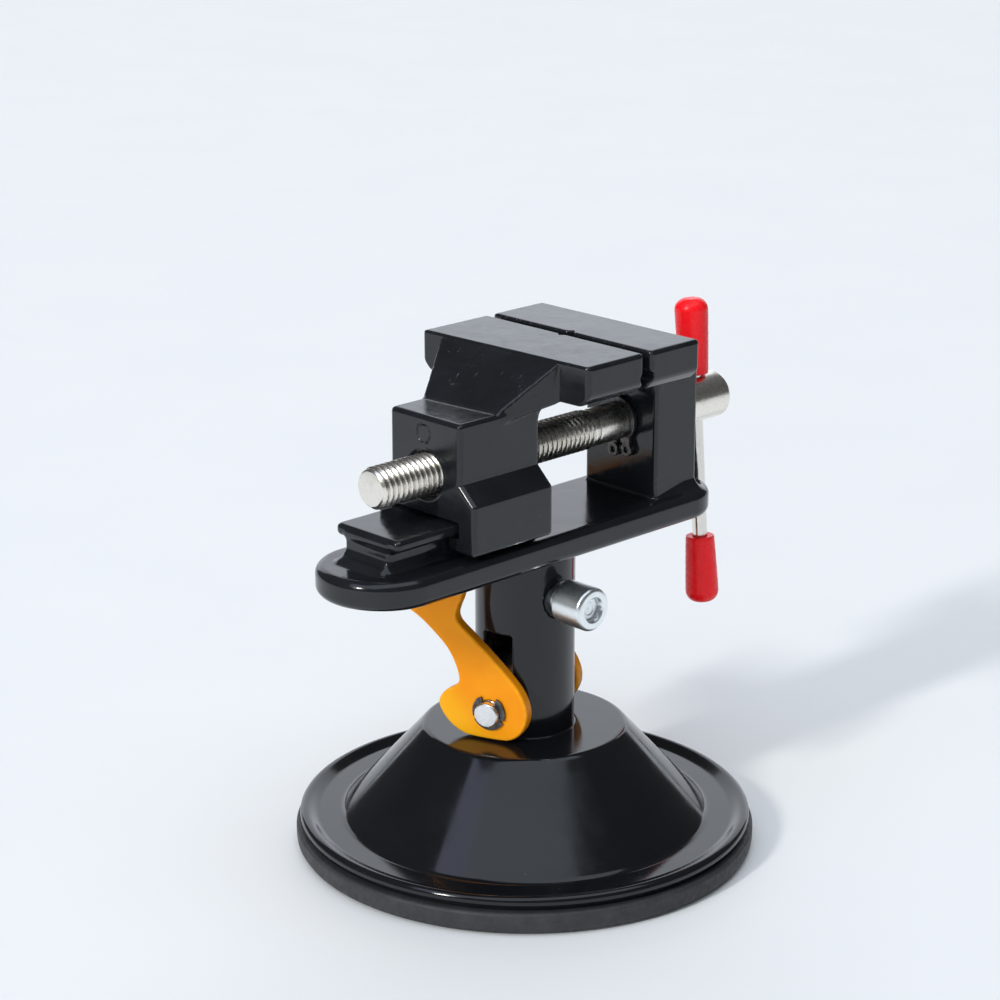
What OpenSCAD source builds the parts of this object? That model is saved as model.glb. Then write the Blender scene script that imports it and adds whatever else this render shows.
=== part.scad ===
// Suction base vise: a small swivelling vise on a lever-locked suction base.
// Millimetres, Z up. X runs along the lead screw towards its handle.
// The origin is the centre of the rubber face that sits on the bench.

/* [Suction base] */
// Outer diameter of the rubber cup
cup_d = 90; // [88:0.5:92]
// Height of the rubber rim under the housing
rim_h = 4.5; // [4:0.1:4.8]
// Diameter of the housing's rounded lip
lip_d = 88.4; // [87:0.2:88.4]
// Diameter of the cone where it meets the flange
cone_base_d = 71.6; // [70:0.2:73]
// Diameter of the flat top of the cone
cone_top_d = 39.2; // [38.6:0.2:41]
// Height of the flat top of the cone
cone_top_z = 24.3; // [24:0.1:24.4]
// Outer diameter of the post
post_d = 19.3; // [19:0.1:19.4]
// Bore of the post
post_bore_d = 14; // [13.96:0.01:14.04]

/* [Locking lever] */
// Angle of the pivot pin, counter-clockwise from the lead screw
lever_dir = 18.6; // [17:0.2:20]
// Sideways offset of the pivot pin from the post axis
pin_off = 1.18; // [1:0.02:1.4]
// Height of the pivot pin with the lever up
pin_z = 30.2; // [30.1:0.1:30.5]
// Diameter of the pivot pin
pin_d = 5; // [4.9:0.05:5]
// Distance across the outside of the two arms
arms_w = 25.2; // [25:0.1:25.4]
// Thickness of each arm
arm_t = 2.6; // [2.3:0.1:2.6]
// Width of the slot in the post for the pin
slot_w = 6.2; // [5.8:0.1:6.4]
// Height of the upper end of the slot
slot_top = 45.1; // [42:0.1:45.6]

/* [Vise head] */
// Underside of the platform
plat_z0 = 60.2; // [60.1:0.1:60.5]
// Top of the platform
plat_z1 = 65.8; // [65.4:0.1:65.8]
// Half width of the platform
plat_w = 12.5; // [12:0.1:12.6]
// Front centre of the platform's end radius
plat_x0 = -36.5; // [-37:0.1:-36]
// Rear edge of the platform
plat_x1 = 44.3; // [43.8:0.1:44.3]
// Corner radius of the platform's rear end
plat_cr = 9; // [8.5:0.5:10]
// Edge rounding of the platform
plat_r = 1.8; // [1:0.1:2.2]
// Half width of the jaws
jaw_w = 21.1; // [18:0.1:23]
// Underside of the jaws
jaw_z0 = 92.6; // [92.2:0.1:93]
// Top of the jaws
jaw_z1 = 100.4; // [99.6:0.1:101]
// Gap between the jaw faces as shown
jaw_gap = 1.8; // [1.8:0.1:2.2]

/* [Lead screw] */
// Height of the screw axis
screw_z = 80.3; // [80.2:0.1:80.4]
// Major diameter of the thread
screw_d = 8; // [7.9:0.05:8]
// Pitch of the thread
pitch = 1.25; // [1.25:0.25:1.5]
// Diameter of the screw's head
head_d = 9.5; // [9:0.1:9.6]
// Position of the handle bar along the screw
bar_x = 48; // [48:0.1:48.5]
// Diameter of the handle bar
bar_d = 3; // [2.8:0.1:3]
// Lean of the handle bar from upright
bar_lean = 4.5; // [0:0.5:8]

/* [Hidden] */
$fn = 96;
arm_in = arms_w/2 - arm_t;
run = 0.05;
clip_t = 0.6;
clip_u = arms_w/2 + 0.15;
pin_half = 14.7;
// vise head
fix_x0 = 11.8;
fix_x1 = 25.4;
mov_x1 = fix_x0 - jaw_gap;
mov_x0 = mov_x1 - 15;
mov_skew = -1.9;
blk_x0 = -26.1;
blk_x1 = -5.5;
blk_w = 9.36;
blk_z1 = 91.4;
skirt_w = 13;
skirt_z0 = 66.85;
rail_x0 = -40.75;
rail_x1 = -2.8;
rail_w = 8.5;
rail_web = 5.9;
rail_z = 72.4;
rail_t = 2.3;
foot_w = 6.3;
foot_x0 = -42.9;
foot_z = 66.9;
col_x0 = 26.2;
col_x1 = 38.2;
col_w = 9.43;
clamp_z = 51.9;
stem_r = post_bore_d/2 - run;
// screw
thr_x0 = -39.7;
thr_x1 = 17;
root_r = screw_d/2 - 0.62;
jour_r = 3.75;
head_x0 = col_x1 + 0.3;
head_x1 = 53.7;
clip_x = 24.9;
cap_r = 3.4;
cap_m = 2.95;
up0 = head_d/2 + 0.3;
up1 = 20.45;
lo0 = 28.6;
lo1 = 42.55;

black = [0.05,0.05,0.055];
steel = [0.78,0.77,0.74];

// local frame of the pivot: x along the pin, y sideways, z up, origin on the pin axis
module at_pin(z = pin_z) { rotate([0,0,lever_dir]) translate([0,pin_off,z]) children(); }
// a profile drawn in (y, z) and run along x from a to b
module along_x(a, b) { translate([a,0,0]) rotate([90,0,90]) linear_extrude(b-a) children(); }
// a profile drawn as (radius, distance) turned about the screw axis
module about_screw() { translate([0,0,screw_z]) rotate([0,90,0]) rotate_extrude() children(); }
// the handle bar's own frame: z along the bar, origin where it crosses the screw axis
module at_bar() { translate([bar_x,0,screw_z]) rotate([-bar_lean,0,0]) children(); }

// ---------- suction base ----------
module suction_cup() color([0.09,0.09,0.095]) rotate_extrude($fn=160) difference() {
    union() {
        polygon([[0,0],[cup_d/2-1.3,0],[cup_d/2,1.1],[cup_d/2,rim_h-0.9],[cup_d/2-0.8,rim_h],
                 [34,rim_h],[32.6,2.6],[21,2.6],[19.4,7.6],[0,7.6]]);
    }
    // room for the foot and neck of the stud
    translate([0,2.6]) square([16.25,3]);
    translate([0,4]) square([7.2,5]);
    // sealing grooves in the face
    for (r = [36.5,39.5]) translate([r,0]) circle(r=0.55,$fn=24);
}

module base_housing() color(black) {
    rb = cone_base_d/2; rt = cone_top_d/2; rp = post_d/2; zt = cone_top_z;
    difference() {
        rotate_extrude($fn=160) difference() {
            union() {
                polygon([[33.8,rim_h],[lip_d/2-0.9,rim_h],[lip_d/2-0.9,5.1],[lip_d/2-1.1,7.3],[40.6,6.15],
                         [rb,6.15],[rt+0.5,zt-0.5],[rt-0.5,zt],[rp,zt],[rp,plat_z0-0.9],[rp-0.6,plat_z0-0.3],
                         [post_bore_d/2+0.5,plat_z0-0.3],[post_bore_d/2,plat_z0-0.8],[post_bore_d/2,15],[rp,15],[rp,zt-2.7],[rt-1.6,zt-2.7],
                         [rb-2.6,5.6],[33.8,5.6]]);
                // rounded lip
                translate([lip_d/2-1.1,6.2]) circle(r=1.1,$fn=40);
            }
        }
        // pin slot through both sides of the post
        at_pin(0) translate([-15,-slot_w/2,26.6]) cube([30,slot_w,slot_top-26.6]);
        // seat of the threaded insert
        translate([0,-5,clamp_z]) rotate([90,0,0]) cylinder(r=3.6,h=8,$fn=48);
    }
}

module clamp_insert() color([0.72,0.56,0.28]) intersection() {
    translate([0,-4,clamp_z]) rotate([90,0,0]) difference() {
        cylinder(r=3.6,h=6,$fn=48);
        translate([0,0,-1]) cylinder(r=2.55,h=9,$fn=48);
    }
    difference() {
        translate([0,0,clamp_z-6]) cylinder(r=post_d/2,h=12);
        translate([0,0,clamp_z-7]) cylinder(r=post_bore_d/2,h=14);
    }
}

module clamp_screw() color(steel) translate([0,0,clamp_z]) rotate([90,0,0]) difference() {
    rotate_extrude($fn=64) polygon([[0,6.1],[1.9,6.1],[2.5,6.8],[2.5,11.2],[4.25,11.2],[4.25,17.9],[3.85,18.4],[0,18.4]]);
    // hexagon socket
    translate([0,0,15.2]) cylinder(r=4/sqrt(3),h=4,$fn=6);
}

module pull_stud() color([0.62,0.63,0.65]) difference() {
    rotate_extrude() polygon([[0,2.9],[15.6,2.9],[16,3.3],[16,4.9],[15.6,5.3],[7.2,5.3],[6.4,6.1],[6.4,36.6],[5.4,37.6],[0,37.6]]);
    at_pin() translate([-9,0,0]) rotate([0,90,0]) cylinder(r=pin_d/2+0.02,h=18,$fn=48);
}

module pivot_pin() color(steel) at_pin() rotate([0,90,0]) rotate_extrude($fn=48) {
    r = pin_d/2; c = clip_u; e = clip_u+clip_t+0.05;
    polygon([[0,-pin_half],[r-0.4,-pin_half],[r,-pin_half+0.4],[r,-e],[r-0.5,-e],[r-0.5,-c+0.05],[r,-c+0.05],
             [r,c-0.05],[r-0.5,c-0.05],[r-0.5,e],[r,e],[r,pin_half-0.4],[r-0.4,pin_half],[0,pin_half]]);
}

// open retaining ring, its mouth upwards
module open_clip() rotate([90,0,90]) linear_extrude(clip_t) difference() {
    circle(r=3.6,$fn=64);
    circle(r=pin_d/2-0.48,$fn=48);
    translate([-1.7,0]) square([3.4,6]);
}
module pivot_clips() color([0.2,0.2,0.21]) at_pin() {
    translate([clip_u,0,0]) open_clip();
    translate([-clip_u-clip_t,0,0]) open_clip();
}

// side view of one arm, pin at the origin, y outwards from the post
module arm_shape() difference() {
    polygon([[-2.95,-5.5],[4.2,-5.6],[6.3,-5.2],[8.45,-3.96],[9.97,-2.43],[10.9,-0.9],[11.18,0.1],[11.05,0.95],[10.6,1.8],[10.05,2.5],
             [9.26,3.17],[8.02,3.86],[7.13,4.54],[6.72,5.4],[6.88,6.7],[7.5,8.48],[8.38,10.26],[9.41,11.78],[10.81,13.19],[12.89,15.04],[15.07,16.78],
             [17.67,18.21],[21.41,20.22],[25.58,22.81],[28.81,24.83],[30.48,26.2],[30.79,27.39],[30.06,28.42],
             [9.8,28.95],[7.6,27.91],[6.36,26.24],[5.89,24.45],[6.1,22.34],[7.08,20.11],[7.5,18.7],[7.29,17.7],[6.67,16.87],
             [4.97,15.51],[3.25,14.11],[1.11,12.27],[-1.03,10.34],[-3.18,8.4],[-5.22,6.36],[-6.56,4.6],[-7.29,3.13],[-7.7,1.84],[-7.85,0.54],
             [-7.7,-0.86],[-7.08,-2.48],[-6.15,-3.8],[-4.91,-4.84]]);
    circle(r=pin_d/2+run,$fn=48);
}
module lever() color([0.96,0.62,0.07]) at_pin() {
    for (u = [-arms_w/2, arm_in]) translate([u,0,0]) rotate([90,0,90]) linear_extrude(arm_t) arm_shape();
    // thumb plate joining the arms
    translate([-arms_w/2,0,0]) rotate([90,0,90]) linear_extrude(arms_w)
        polygon([[9.3,26.2],[25.2,25.6],[28.2,24.45],[29.23,25.1],[30.48,26.2],[30.79,27.39],[30.06,28.42],[9.3,28.96]]);
}

// ---------- vise head ----------
module edge_section() { t = plat_z1-plat_z0; r = plat_r;
    square([plat_w-r,t]);
    translate([0,r]) square([plat_w,t-2*r]);
    for (z = [r,t-r]) translate([plat_w-r,z]) circle(r=r,$fn=32);
}
// edge-rounded disc of radius r
module plat_disc(r) rotate_extrude($fn=72) intersection() { translate([r-plat_w,0]) edge_section(); square([20,20]); }
module platform() translate([0,0,plat_z0]) hull() {
    translate([plat_x0,0,0]) plat_disc(plat_w);
    for (m = [-1,1]) translate([plat_x1-plat_cr,m*(plat_w-plat_cr),0]) plat_disc(plat_cr);
}
// flared brace between a block and the back of its jaw: corners on the block, on the jaw's foot and on its top edge
module brace(foot, root, crest) hull() {
    for (p = foot) translate([p[0],p[1],91.2]) cube(0.02,center=true);
    for (p = root) translate([p[0],p[1],91.2]) cube(0.02,center=true);
    for (p = crest) for (d = [0,0.6]) translate([p[0]+d*sign(root[0][0]-foot[0][0]),p[1],jaw_z1-0.3]) cube(0.02,center=true);
}
// jaw seen along its length, with its working face at x1 and its back at x0
module jaw_section(x0, x1) { s = x1 > x0 ? 1 : -1;
    polygon([[x0+0.6*s,jaw_z0],[x1-0.5*s,jaw_z0],[x1,jaw_z0+0.5],[x1,jaw_z1-0.5],[x1-0.5*s,jaw_z1],[x0+0.6*s,jaw_z1],[x0,jaw_z1-0.6],[x0,jaw_z0+0.6]]);
}
// the back may run askew, by skew at the far end
module jaw_block(x0, x1, skew) { s = x1 > x0 ? 1 : -1;
    difference() {
        if (skew == 0) translate([0,jaw_w,0]) rotate([90,0,0]) linear_extrude(2*jaw_w) jaw_section(x0,x1);
        else hull() for (e = [[-jaw_w+0.01,0],[jaw_w,skew]]) translate([0,e[0],0]) rotate([90,0,0]) linear_extrude(0.01) jaw_section(x0+e[1],x1);
        // lengthwise groove in the face
        translate([0,30,0]) rotate([90,0,0]) linear_extrude(60)
            polygon([[x1+s,93.48],[x1-1.1*s,95.2],[x1-1.1*s,96.0],[x1+s,97.72]]);
        // upright V groove in the middle of the face
        translate([x1,0,90]) rotate([0,0,45]) cube([1.9,1.9,30],center=true);
        // cut lower corners
        for (m = [-1,1]) translate([(x0+x1)/2,m*jaw_w,jaw_z0]) rotate([45,0,0]) cube([40,2.8,2.8],center=true);
    }
}
module under_brace(x0, x1, z) translate([0,9,0]) rotate([90,0,0]) linear_extrude(18)
    polygon([[x0,z],[x1,jaw_z0+0.3],[x0,jaw_z0+0.3]]);

module vise_body() color(black) difference() {
    union() {
        platform();
        // spigot with a groove for the clamp screw
        rotate_extrude() polygon([[0,46.6],[stem_r-0.8,46.6],[stem_r,47.4],[stem_r,49.2],[stem_r-1.3,50.5],[stem_r-1.3,53.3],
                                  [stem_r,54.6],[stem_r,plat_z0+1],[0,plat_z0+1]]);
        // guide rail
        along_x(foot_x0, rail_x1) translate([-foot_w,plat_z1-0.6]) square([2*foot_w,foot_z-plat_z1+0.6]);
        along_x(rail_x0, rail_x1) {
            translate([-rail_web,plat_z1-0.6]) square([2*rail_web,rail_z-plat_z1]);
            translate([-rail_w,rail_z-rail_t]) square([2*rail_w,rail_t]);
        }
        // rear column
        along_x(col_x0, col_x1) translate([-col_w,plat_z1-0.6]) square([2*col_w,blk_z1-plat_z1+0.6]);
        brace([[col_x1-2.4,-8.7],[col_x1-2.4,8.7]], [[fix_x1-0.6,-9.2],[fix_x1-0.6,9.2]], [[fix_x1-0.6,-15],[fix_x1-0.6,15]]);
        jaw_block(fix_x1, fix_x0, 0);
        under_brace(col_x0+0.5, col_x0-5.4, 87.6);
        // fillet at the column's root
        along_x(col_x0, col_x1) polygon([[-col_w-1.2,plat_z1-0.6],[-col_w-1.2,plat_z1],[-col_w,plat_z1+1.4],[col_w,plat_z1+1.4],[col_w+1.2,plat_z1],[col_w+1.2,plat_z1-0.6]]);
    }
    translate([col_x0-2,0,screw_z]) rotate([0,90,0]) cylinder(r=jour_r+0.07,h=16,$fn=64);
}

module movable_jaw() color(black) difference() {
    union() {
        along_x(blk_x0, blk_x1) difference() {
            polygon([[-skirt_w,skirt_z0],[-skirt_w,76.6],[-blk_w,80],[-blk_w,blk_z1],[blk_w,blk_z1],[blk_w,80],[skirt_w,76.6],[skirt_w,skirt_z0]]);
            translate([-rail_w-0.35,rail_z-rail_t-0.35]) square([2*rail_w+0.7,rail_t+0.7]);
            translate([-rail_web-0.35,60]) square([2*rail_web+0.7,12]);
            translate([-rail_w-0.35,60]) square([2*rail_w+0.7,foot_z+0.4-60]);
        }
        brace([[blk_x0+9.8,-8.7],[blk_x0+8.1,9.2]], [[mov_x0+0.1,-9.2],[mov_x0-0.7,9.2]], [[mov_x0-0.33,-14],[mov_x0-1.7,16]]);
        jaw_block(mov_x0, mov_x1, mov_skew);
        under_brace(blk_x1-0.5, blk_x1+5, 88.6);
    }
    // threaded hole with a countersunk mouth
    translate([blk_x0-1,0,screw_z]) rotate([0,90,0]) cylinder(r=screw_d/2+0.08,h=25,$fn=64);
    for (e = [[blk_x0-0.01,0],[blk_x1+0.01,180]]) translate([e[0],0,screw_z]) rotate([0,90+e[1],0]) cylinder(r1=4.95,r2=4.05,h=0.9,$fn=64);
}

// ---------- lead screw ----------
thread_n = floor((thr_x1-thr_x0-1.6)/pitch);
module lead_screw() color(steel) difference() {
    about_screw() polygon(concat(
        [[0,thr_x0],[root_r-0.5,thr_x0],[root_r,thr_x0+0.8]],
        [for (i = [0:thread_n-1]) each [[root_r,thr_x0+0.8+i*pitch+0.08],[screw_d/2,thr_x0+0.8+(i+0.44)*pitch],[screw_d/2,thr_x0+0.8+(i+0.56)*pitch],[root_r,thr_x0+0.8+(i+1)*pitch-0.08]]],
        [[root_r,thr_x1-0.3],[jour_r,thr_x1],[jour_r,clip_x-0.03],[jour_r-0.4,clip_x-0.03],[jour_r-0.4,clip_x+1.03],[jour_r,clip_x+1.03],
         [jour_r,head_x0],[head_d/2-0.3,head_x0],[head_d/2,head_x0+0.3],[head_d/2,head_x1-0.5],[head_d/2-0.5,head_x1],[0,head_x1]]));
    at_bar() cylinder(r=bar_d/2+run,h=12,center=true,$fn=48);
}

// retaining ring with two drilled lugs, hanging down beside the column
module screw_circlip() color([0.12,0.12,0.13]) translate([clip_x,0,screw_z]) rotate([-9,0,0]) rotate([90,0,90]) linear_extrude(1) difference() {
    union() {
        circle(r=5.0,$fn=64);
        for (m = [-1,1]) translate([m*1.75,-5.9]) circle(r=1.35,$fn=32);
        for (m = [-1,1]) translate([m*1.95-0.9,-5.6]) square([1.8,2.4]);
    }
    circle(r=jour_r-0.38,$fn=64);
    translate([-0.6,-9]) square([1.2,7]);
    for (m = [-1,1]) translate([m*1.75,-5.9]) circle(r=0.6,$fn=24);
}

module tommy_bar() color(steel) at_bar() rotate_extrude($fn=48)
    polygon([[0,1.6-lo1],[bar_d/2-0.3,1.6-lo1],[bar_d/2,1.9-lo1],[bar_d/2,up1-1.9],[bar_d/2-0.3,up1-1.6],[0,up1-1.6]]);

// dipped cap from a to b along the bar, its round end at b
module bar_cap(a, b) { s = b > a ? 1 : -1; rotate_extrude($fn=48) difference() {
    union() {
        polygon([[0,a],[cap_m-0.4,a],[cap_m,a+0.4*s],[cap_r,b-2.6*s],[cap_r,b-2.2*s],[cap_r-2.2,b-2.2*s],[cap_r-2.2,b],[0,b]]);
        intersection() { translate([cap_r-2.2,b-2.2*s]) circle(r=2.2,$fn=48); translate([0,-60]) square([10,120]); }
    }
    polygon([[-1,a-1*s],[bar_d/2,a-1*s],[bar_d/2,b-1.9*s],[bar_d/2-0.3,b-1.6*s],[-1,b-1.6*s]]);
} }
module bar_cap_upper() color([0.86,0.06,0.08]) at_bar() bar_cap(up0, up1);
module bar_cap_lower() color([0.86,0.06,0.08]) at_bar() rotate([180,0,0]) bar_cap(lo0, lo1);

suction_cup();
base_housing();
clamp_insert();
clamp_screw();
pull_stud();
pivot_pin();
pivot_clips();
lever();
vise_body();
movable_jaw();
lead_screw();
screw_circlip();
tommy_bar();
bar_cap_upper();
bar_cap_lower();
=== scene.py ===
import math
import bpy
import numpy as np
from mathutils import Vector, Matrix


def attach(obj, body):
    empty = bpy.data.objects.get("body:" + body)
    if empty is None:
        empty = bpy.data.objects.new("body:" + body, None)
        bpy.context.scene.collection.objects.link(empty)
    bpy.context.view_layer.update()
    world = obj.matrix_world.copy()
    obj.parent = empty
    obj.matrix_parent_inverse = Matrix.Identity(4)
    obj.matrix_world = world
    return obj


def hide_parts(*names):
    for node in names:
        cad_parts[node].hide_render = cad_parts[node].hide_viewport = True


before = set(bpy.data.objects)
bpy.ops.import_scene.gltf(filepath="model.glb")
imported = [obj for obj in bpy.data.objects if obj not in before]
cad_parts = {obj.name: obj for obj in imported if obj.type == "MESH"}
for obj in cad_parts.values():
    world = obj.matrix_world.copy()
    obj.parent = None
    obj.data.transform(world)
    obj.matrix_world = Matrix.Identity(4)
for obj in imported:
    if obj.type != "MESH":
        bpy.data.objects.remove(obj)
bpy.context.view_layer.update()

MM = 0.001
scene = bpy.context.scene

# ------------------------------------------------------------------ shape tools (all in millimetres)
def iround(a, b, r):
    """Intersection of two fields with a round edge."""
    return np.minimum(np.maximum(a, b), -r) + np.hypot(np.maximum(a + r, 0), np.maximum(b + r, 0))

def uround(a, b, r):
    """Union of two fields with a fillet."""
    return np.maximum(np.minimum(a, b), r) - np.hypot(np.maximum(r - a, 0), np.maximum(r - b, 0))

def cut(a, b, r=0.0):
    """a without b; the new edge is rounded."""
    return iround(a, -b, r) if r else np.maximum(a, -b)

def poly_sd(x, y, pts):
    """Exact signed distance to a closed polygon."""
    d = np.full(x.shape, 1e9, np.float32)
    s = np.ones(x.shape, bool)
    n = len(pts)
    for i in range(n):
        ax, ay = pts[i]; bx, by = pts[i - 1]
        ex, ey = bx - ax, by - ay
        wx, wy = x - ax, y - ay
        t = np.clip((wx * ex + wy * ey) / (ex * ex + ey * ey), 0, 1)
        qx, qy = wx - ex * t, wy - ey * t
        d = np.minimum(d, qx * qx + qy * qy)
        c1 = y >= ay; c2 = y < by; c3 = ex * wy > ey * wx
        s ^= (c1 & c2 & c3) | (~c1 & ~c2 & ~c3)
    return np.where(s, 1, -1) * np.sqrt(d)

def inset(pts, r):
    """A counter-clockwise polygon moved in by r, with sharp corners."""
    out = []
    n = len(pts)
    for i in range(n):
        p0, p1, p2 = (np.array(pts[(i + k) % n], float) for k in (-1, 0, 1))
        a = p1 - p0; b = p2 - p1
        a /= np.linalg.norm(a); b /= np.linalg.norm(b)
        na = np.array([-a[1], a[0]]); nb = np.array([-b[1], b[0]])
        m = na + nb
        m /= max(np.dot(m, m), 1e-6) / 2
        if np.linalg.norm(m) > 3: m *= 3 / np.linalg.norm(m)
        out.append(tuple(p1 + m * r))
    return out

def soft_poly(x, y, pts, r):
    """Signed distance to a polygon whose outer corners are rounded by r."""
    return poly_sd(x, y, inset(pts, r)) - r

def ring(r, z, pts, e=0.0):
    """Field of a turned profile given as (radius, height); radius 0 means solid to the axis."""
    p = [(-6.0 if a == 0 else a, b) for a, b in pts]
    return soft_poly(r, z, p, e) if e else poly_sd(r, z, p)

def slab(v, a, b):
    return np.abs(v - (a + b) / 2) - (b - a) / 2

def convex(P, pts, r):
    """Convex hull of a few points, its edges rounded by r."""
    pts = np.array(pts, float)
    c = pts.mean(0)
    planes = []
    n = len(pts)
    for i in range(n):
        for j in range(i + 1, n):
            for k in range(j + 1, n):
                m = np.cross(pts[j] - pts[i], pts[k] - pts[i])
                if np.linalg.norm(m) < 1e-6: continue
                m /= np.linalg.norm(m)
                o = float(m @ pts[i])
                if m @ c > o: m, o = -m, -o
                if (pts @ m - o).max() < 1e-4 and not any(abs(m @ q - 1) < 1e-5 and abs(o - w) < 1e-4 for q, w in planes):
                    planes.append((m, o))
    f = None
    for m, o in planes:
        g = (P[:, 0] * m[0] + P[:, 1] * m[1] + P[:, 2] * m[2] - o).astype(np.float32)
        f = g if f is None else iround(f, g, r)
    return f

_lattice = np.random.RandomState(11).rand(32, 32, 32).astype(np.float32)
def lumps(P, size):
    """Smooth noise from 0 to 1 with features of the given size."""
    q = P / size + 100.0
    i = np.floor(q).astype(int); t = (q - i).astype(np.float32)
    t = t * t * (3 - 2 * t)
    i %= 32; j = (i + 1) % 32
    out = 0
    for a in (0, 1):
        for b in (0, 1):
            for c in (0, 1):
                w = (t[:, 0] if a else 1 - t[:, 0]) * (t[:, 1] if b else 1 - t[:, 1]) * (t[:, 2] if c else 1 - t[:, 2])
                out = out + w * _lattice[(j if a else i)[:, 0], (j if b else i)[:, 1], (j if c else i)[:, 2]]
    return out

CELL = [np.array(c) for c in ((0,0,0),(1,0,0),(0,1,0),(1,1,0),(0,0,1),(1,0,1),(0,1,1),(1,1,1))]
EDGES = [(0,1),(2,3),(4,5),(6,7),(0,2),(1,3),(4,6),(5,7),(0,4),(1,5),(2,6),(3,7)]

def gradient(f, p, e):
    g = np.empty(p.shape)
    for k in range(3):
        d = np.zeros(3); d[k] = e
        g[:, k] = f(p + d) - f(p - d)
    n = np.linalg.norm(g, axis=1)
    n[n < 1e-9] = 1
    return g / n[:, None], n / (2 * e)

def field_mesh(name, f, lo, hi, h, matrix=None, eps=0.03):
    """A closed quad mesh of f = 0 with true normals. f takes points in millimetres; matrix carries the result to the row frame."""
    B = 8
    lo = np.array(lo, float) - 1.37 * h
    hi = np.array(hi, float) + 1.37 * h
    nb = np.ceil((hi - lo) / h / B).astype(int) + 1
    axes = [lo[k] + (np.arange(nb[k]) * B + (B - 1) / 2) * h for k in range(3)]
    C = np.stack(np.meshgrid(*axes, indexing="ij"), -1).reshape(-1, 3)
    d = f(C)
    near = np.abs(d) < math.sqrt(3) * B * h / 2 + 1.5 * h
    vol = np.where(d < 0, -9.0, 9.0).astype(np.float32).reshape(nb)
    for k in range(3): vol = np.repeat(vol, B, k)
    idx = np.argwhere(near.reshape(nb))
    off = np.stack(np.meshgrid(*[np.arange(B)] * 3, indexing="ij"), -1).reshape(-1, 3)
    for s in range(0, len(idx), 1500):
        ijk = (idx[s:s + 1500, None, :] * B + off[None]).reshape(-1, 3)
        vol[ijk[:, 0], ijk[:, 1], ijk[:, 2]] = f(lo + ijk * h)
    s = vol < 0
    count = np.zeros(tuple(np.array(s.shape) - 1), np.int8)
    for c in CELL:
        count += s[c[0]:s.shape[0] - 1 + c[0], c[1]:s.shape[1] - 1 + c[1], c[2]:s.shape[2] - 1 + c[2]]
    cells = np.argwhere((count > 0) & (count < 8))
    number = np.full(count.shape, -1, np.int32)
    number[cells[:, 0], cells[:, 1], cells[:, 2]] = np.arange(len(cells))
    acc = np.zeros((len(cells), 3)); cnt = np.zeros(len(cells))
    val = [vol[tuple((cells + c).T)] for c in CELL]
    for a, b in EDGES:
        m = (val[a] < 0) != (val[b] < 0)
        t = val[a][m] / (val[a][m] - val[b][m])
        acc[m] += CELL[a] + t[:, None] * (CELL[b] - CELL[a]); cnt[m] += 1
    p = lo + (cells + acc / cnt[:, None]) * h
    quads = []
    for k in range(3):
        u, v = (k + 1) % 3, (k + 2) % 3
        lower = [slice(None)] * 3; upper = [slice(None)] * 3
        lower[k] = slice(0, -1); upper[k] = slice(1, None)
        S = s[tuple(lower)]; T = s[tuple(upper)]
        e = np.argwhere(S != T)
        e = e[(e[:, u] > 0) & (e[:, v] > 0) & (e[:, u] < count.shape[u]) & (e[:, v] < count.shape[v])]
        q = []
        for du, dv in ((1, 1), (0, 1), (0, 0), (1, 0)):
            c = e.copy(); c[:, u] -= du; c[:, v] -= dv
            q.append(number[tuple(c.T)])
        q = np.stack(q, 1)
        out = S[tuple(e.T)]
        q[~out] = q[~out][:, ::-1]
        quads.append(q)
    quads = np.concatenate(quads)
    quads = quads[(quads >= 0).all(1)]
    for _ in range(2):
        n, size = gradient(f, p, eps)
        step = np.clip(f(p) / np.maximum(size, 0.4), -0.5 * h, 0.5 * h)
        p = p - n * step[:, None]
    n, _ = gradient(f, p, eps)
    # how far each point stands out from its neighbours, as a share of the spacing
    pull = np.zeros_like(p); deg = np.zeros(len(p))
    for a in range(4):
        i, j = quads[:, a], quads[:, (a + 1) % 4]
        np.add.at(pull, i, p[j] - p[i]); np.add.at(deg, i, 1)
        np.add.at(pull, j, p[i] - p[j]); np.add.at(deg, j, 1)
    stand = -np.einsum("ij,ij->i", pull / np.maximum(deg, 1)[:, None], n) / h
    return make_mesh(name, p, quads, n, matrix, stand)

def make_mesh(name, p, faces, normals=None, matrix=None, stand=None):
    me = bpy.data.meshes.new(name)
    q = p * MM
    if matrix is not None:
        R = np.array(matrix.to_3x3()); t = np.array(matrix.translation)
        q = q @ R.T + t
        if normals is not None: normals = normals @ R.T
    me.from_pydata(q.tolist(), [], faces.tolist() if hasattr(faces, "tolist") else faces)
    me.polygons.foreach_set("use_smooth", np.ones(len(me.polygons), bool))
    if stand is not None:
        a = me.attributes.new("stand", "FLOAT", "POINT")
        a.data.foreach_set("value", stand.astype(np.float32))
    me.validate(clean_customdata=False)
    if normals is not None:
        me.normals_split_custom_set_from_vertices(normals.tolist())
    ob = bpy.data.objects.new(name, me)
    scene.collection.objects.link(ob)
    return ob

def arc(cx, cy, r, a0, a1, n):
    return [(cx + r * math.cos(math.radians(a0 + (a1 - a0) * i / n)), cy + r * math.sin(math.radians(a0 + (a1 - a0) * i / n))) for i in range(n + 1)]

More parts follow.
